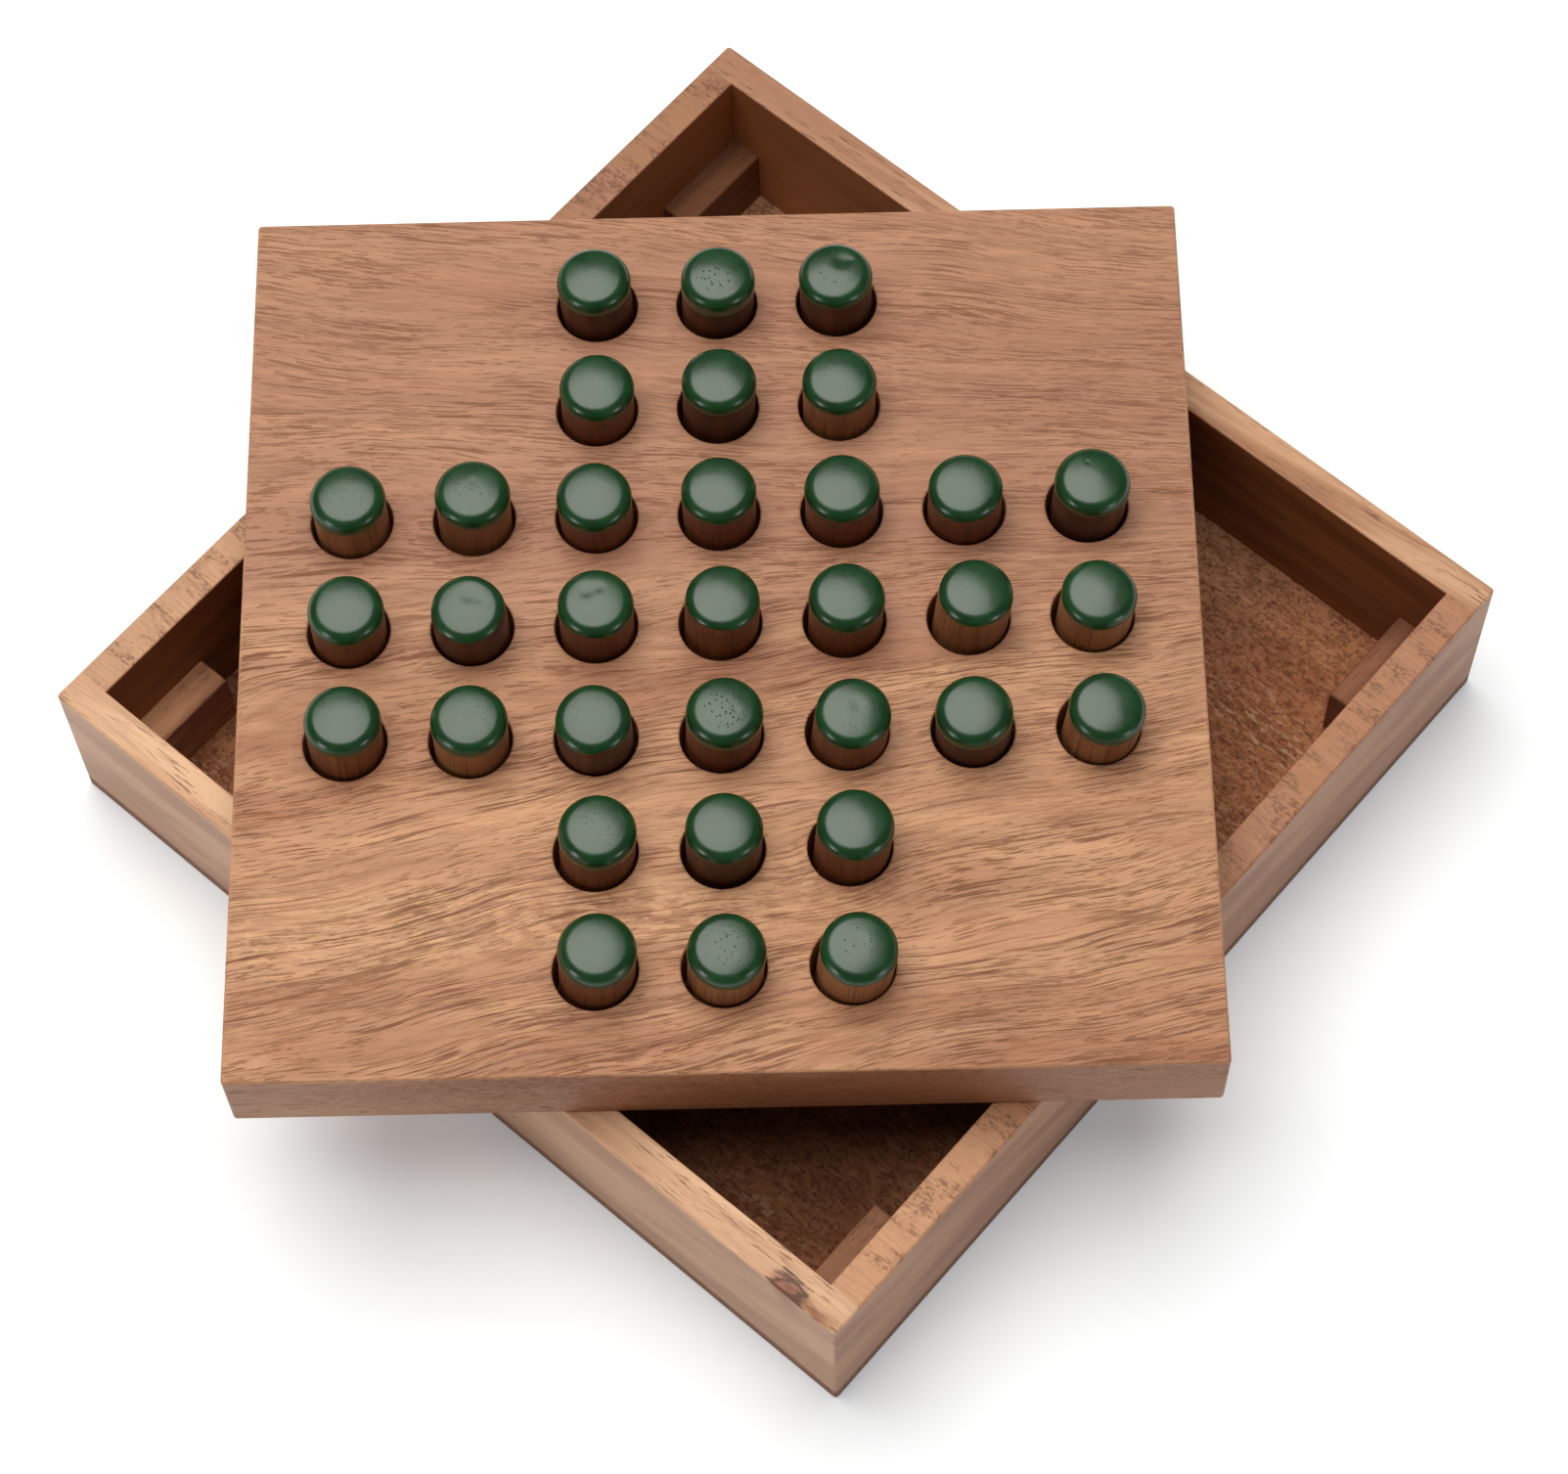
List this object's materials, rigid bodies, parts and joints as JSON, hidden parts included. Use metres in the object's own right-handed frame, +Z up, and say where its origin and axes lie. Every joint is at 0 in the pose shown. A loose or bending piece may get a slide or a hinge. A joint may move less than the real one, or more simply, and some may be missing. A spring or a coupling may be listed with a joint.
{
  "type": "peg solitaire set",
  "caption": "Square hardwood solitaire board with painted pegs in a cross of blind holes, laid askew across an open square tray that stores it on corner blocks.",
  "frame": {"origin": "middle of the tray's flat underside", "axes": "+Z up; +X and +Y along the tray's walls, +X towards the full-length wall on the right and +Y towards the back wall, which fits between the full-length walls"},
  "size_m": [0.188, 0.188, 0.0518],
  "materials": {
    "board": "satin",
    "peg": "gloss paint on the top, bare dowel below",
    "walls": "satin",
    "base_panel": "matte plywood",
    "corner_blocks": "matte"
  },
  "bodies": {
    "tray": {"base_panel": "base_panel", "wall_left": "walls", "wall_right": "walls", "wall_front": "walls", "wall_back": "walls", "corner_block_back_left": "corner_blocks", "corner_block_back_right": "corner_blocks", "corner_block_front_left": "corner_blocks", "corner_block_front_right": "corner_blocks"},
    "board": {"peg_board": "board"},
    "peg_c1": {"peg_c1": "peg"},
    "peg_d1": {"peg_d1": "peg"},
    "peg_e1": {"peg_e1": "peg"},
    "peg_c2": {"peg_c2": "peg"},
    "peg_d2": {"peg_d2": "peg"},
    "peg_e2": {"peg_e2": "peg"},
    "peg_a3": {"peg_a3": "peg"},
    "peg_b3": {"peg_b3": "peg"},
    "peg_c3": {"peg_c3": "peg"},
    "peg_d3": {"peg_d3": "peg"},
    "peg_e3": {"peg_e3": "peg"},
    "peg_f3": {"peg_f3": "peg"},
    "peg_g3": {"peg_g3": "peg"},
    "peg_a4": {"peg_a4": "peg"},
    "peg_b4": {"peg_b4": "peg"},
    "peg_c4": {"peg_c4": "peg"},
    "peg_d4": {"peg_d4": "peg"},
    "peg_e4": {"peg_e4": "peg"},
    "peg_f4": {"peg_f4": "peg"},
    "peg_g4": {"peg_g4": "peg"},
    "peg_a5": {"peg_a5": "peg"},
    "peg_b5": {"peg_b5": "peg"},
    "peg_c5": {"peg_c5": "peg"},
    "peg_d5": {"peg_d5": "peg"},
    "peg_e5": {"peg_e5": "peg"},
    "peg_f5": {"peg_f5": "peg"},
    "peg_g5": {"peg_g5": "peg"},
    "peg_c6": {"peg_c6": "peg"},
    "peg_d6": {"peg_d6": "peg"},
    "peg_e6": {"peg_e6": "peg"},
    "peg_c7": {"peg_c7": "peg"},
    "peg_d7": {"peg_d7": "peg"},
    "peg_e7": {"peg_e7": "peg"}
  },
  "joints": [
    {"name": "board_lift", "type": "slide", "parent": "tray", "child": "board", "axis": [0, 0, 1], "range_m": [0, 0.06]},
    {"name": "peg_c1_pull", "type": "slide", "parent": "board", "child": "peg_c1", "axis": [0.0012, 0.0209, 0.9998], "range_m": [0, 0.0125]},
    {"name": "peg_d1_pull", "type": "slide", "parent": "board", "child": "peg_d1", "axis": [0.0209, -0.0235, 0.9995], "range_m": [0, 0.0125]},
    {"name": "peg_e1_pull", "type": "slide", "parent": "board", "child": "peg_e1", "axis": [0.0006, 0.0105, 0.9999], "range_m": [0, 0.0125]},
    {"name": "peg_c2_pull", "type": "slide", "parent": "board", "child": "peg_c2", "axis": [-0.0024, -0.0419, 0.9991], "range_m": [0, 0.0125]},
    {"name": "peg_d2_pull", "type": "slide", "parent": "board", "child": "peg_d2", "axis": [0.0419, -0.0024, 0.9991], "range_m": [0, 0.0125]},
    {"name": "peg_e2_pull", "type": "slide", "parent": "board", "child": "peg_e2", "axis": [-0.0006, -0.0105, 0.9999], "range_m": [0, 0.0125]},
    {"name": "peg_a3_pull", "type": "slide", "parent": "board", "child": "peg_a3", "axis": [-0.0006, -0.0105, 0.9999], "range_m": [0, 0.0125]},
    {"name": "peg_b3_pull", "type": "slide", "parent": "board", "child": "peg_b3", "axis": [0.0314, -0.0018, 0.9995], "range_m": [0, 0.0125]},
    {"name": "peg_c3_pull", "type": "slide", "parent": "board", "child": "peg_c3", "axis": [-0.047, -0.0418, 0.998], "range_m": [0, 0.0125]},
    {"name": "peg_d3_pull", "type": "slide", "parent": "board", "child": "peg_d3", "axis": [0.007, -0.0078, 0.9999], "range_m": [0, 0.0125]},
    {"name": "peg_e3_pull", "type": "slide", "parent": "board", "child": "peg_e3", "axis": [-0.0006, -0.0105, 0.9999], "range_m": [0, 0.0125]},
    {"name": "peg_f3_pull", "type": "slide", "parent": "board", "child": "peg_f3", "axis": [-0.047, -0.0418, 0.998], "range_m": [0, 0.0125]},
    {"name": "peg_g3_pull", "type": "slide", "parent": "board", "child": "peg_g3", "axis": [0.0279, -0.0313, 0.9991], "range_m": [0, 0.0125]},
    {"name": "peg_a4_pull", "type": "slide", "parent": "board", "child": "peg_a4", "axis": [-0.0024, -0.0419, 0.9991], "range_m": [0, 0.0125]},
    {"name": "peg_b4_pull", "type": "slide", "parent": "board", "child": "peg_b4", "axis": [-0.0548, -0.0488, 0.9973], "range_m": [0, 0.0125]},
    {"name": "peg_c4_pull", "type": "slide", "parent": "board", "child": "peg_c4", "axis": [-0.0018, -0.0314, 0.9995], "range_m": [0, 0.0125]},
    {"name": "peg_d4_pull", "type": "slide", "parent": "board", "child": "peg_d4", "axis": [0.0279, -0.0313, 0.9991], "range_m": [0, 0.0125]},
    {"name": "peg_e4_pull", "type": "slide", "parent": "board", "child": "peg_e4", "axis": [0.0209, -0.0235, 0.9995], "range_m": [0, 0.0125]},
    {"name": "peg_f4_pull", "type": "slide", "parent": "board", "child": "peg_f4", "axis": [0.0488, -0.0548, 0.9973], "range_m": [0, 0.0125]},
    {"name": "peg_g4_pull", "type": "slide", "parent": "board", "child": "peg_g4", "axis": [-0.0036, -0.0628, 0.998], "range_m": [0, 0.0125]},
    {"name": "peg_a5_pull", "type": "slide", "parent": "board", "child": "peg_a5", "axis": [0.0209, -0.0235, 0.9995], "range_m": [0, 0.0125]},
    {"name": "peg_b5_pull", "type": "slide", "parent": "board", "child": "peg_b5", "axis": [-0.0024, -0.0419, 0.9991], "range_m": [0, 0.0125]},
    {"name": "peg_c5_pull", "type": "slide", "parent": "board", "child": "peg_c5", "axis": [-0.0548, -0.0488, 0.9973], "range_m": [0, 0.0125]},
    {"name": "peg_d5_pull", "type": "slide", "parent": "board", "child": "peg_d5", "axis": [0.0349, -0.0391, 0.9986], "range_m": [0, 0.0125]},
    {"name": "peg_e5_pull", "type": "slide", "parent": "board", "child": "peg_e5", "axis": [-0.0054, -0.0941, 0.9955], "range_m": [0, 0.0125]},
    {"name": "peg_f5_pull", "type": "slide", "parent": "board", "child": "peg_f5", "axis": [-0.047, -0.0418, 0.998], "range_m": [0, 0.0125]},
    {"name": "peg_g5_pull", "type": "slide", "parent": "board", "child": "peg_g5", "axis": [-0.0054, -0.0941, 0.9955], "range_m": [0, 0.0125]},
    {"name": "peg_c6_pull", "type": "slide", "parent": "board", "child": "peg_c6", "axis": [0.0349, -0.0391, 0.9986], "range_m": [0, 0.0125]},
    {"name": "peg_d6_pull", "type": "slide", "parent": "board", "child": "peg_d6", "axis": [0.0209, -0.0235, 0.9995], "range_m": [0, 0.0125]},
    {"name": "peg_e6_pull", "type": "slide", "parent": "board", "child": "peg_e6", "axis": [0.0418, -0.047, 0.998], "range_m": [0, 0.0125]},
    {"name": "peg_c7_pull", "type": "slide", "parent": "board", "child": "peg_c7", "axis": [0.0349, -0.0391, 0.9986], "range_m": [0, 0.0125]},
    {"name": "peg_d7_pull", "type": "slide", "parent": "board", "child": "peg_d7", "axis": [-0.0036, -0.0628, 0.998], "range_m": [0, 0.0125]},
    {"name": "peg_e7_pull", "type": "slide", "parent": "board", "child": "peg_e7", "axis": [-0.0054, -0.0941, 0.9955], "range_m": [0, 0.0125]}
  ]
}
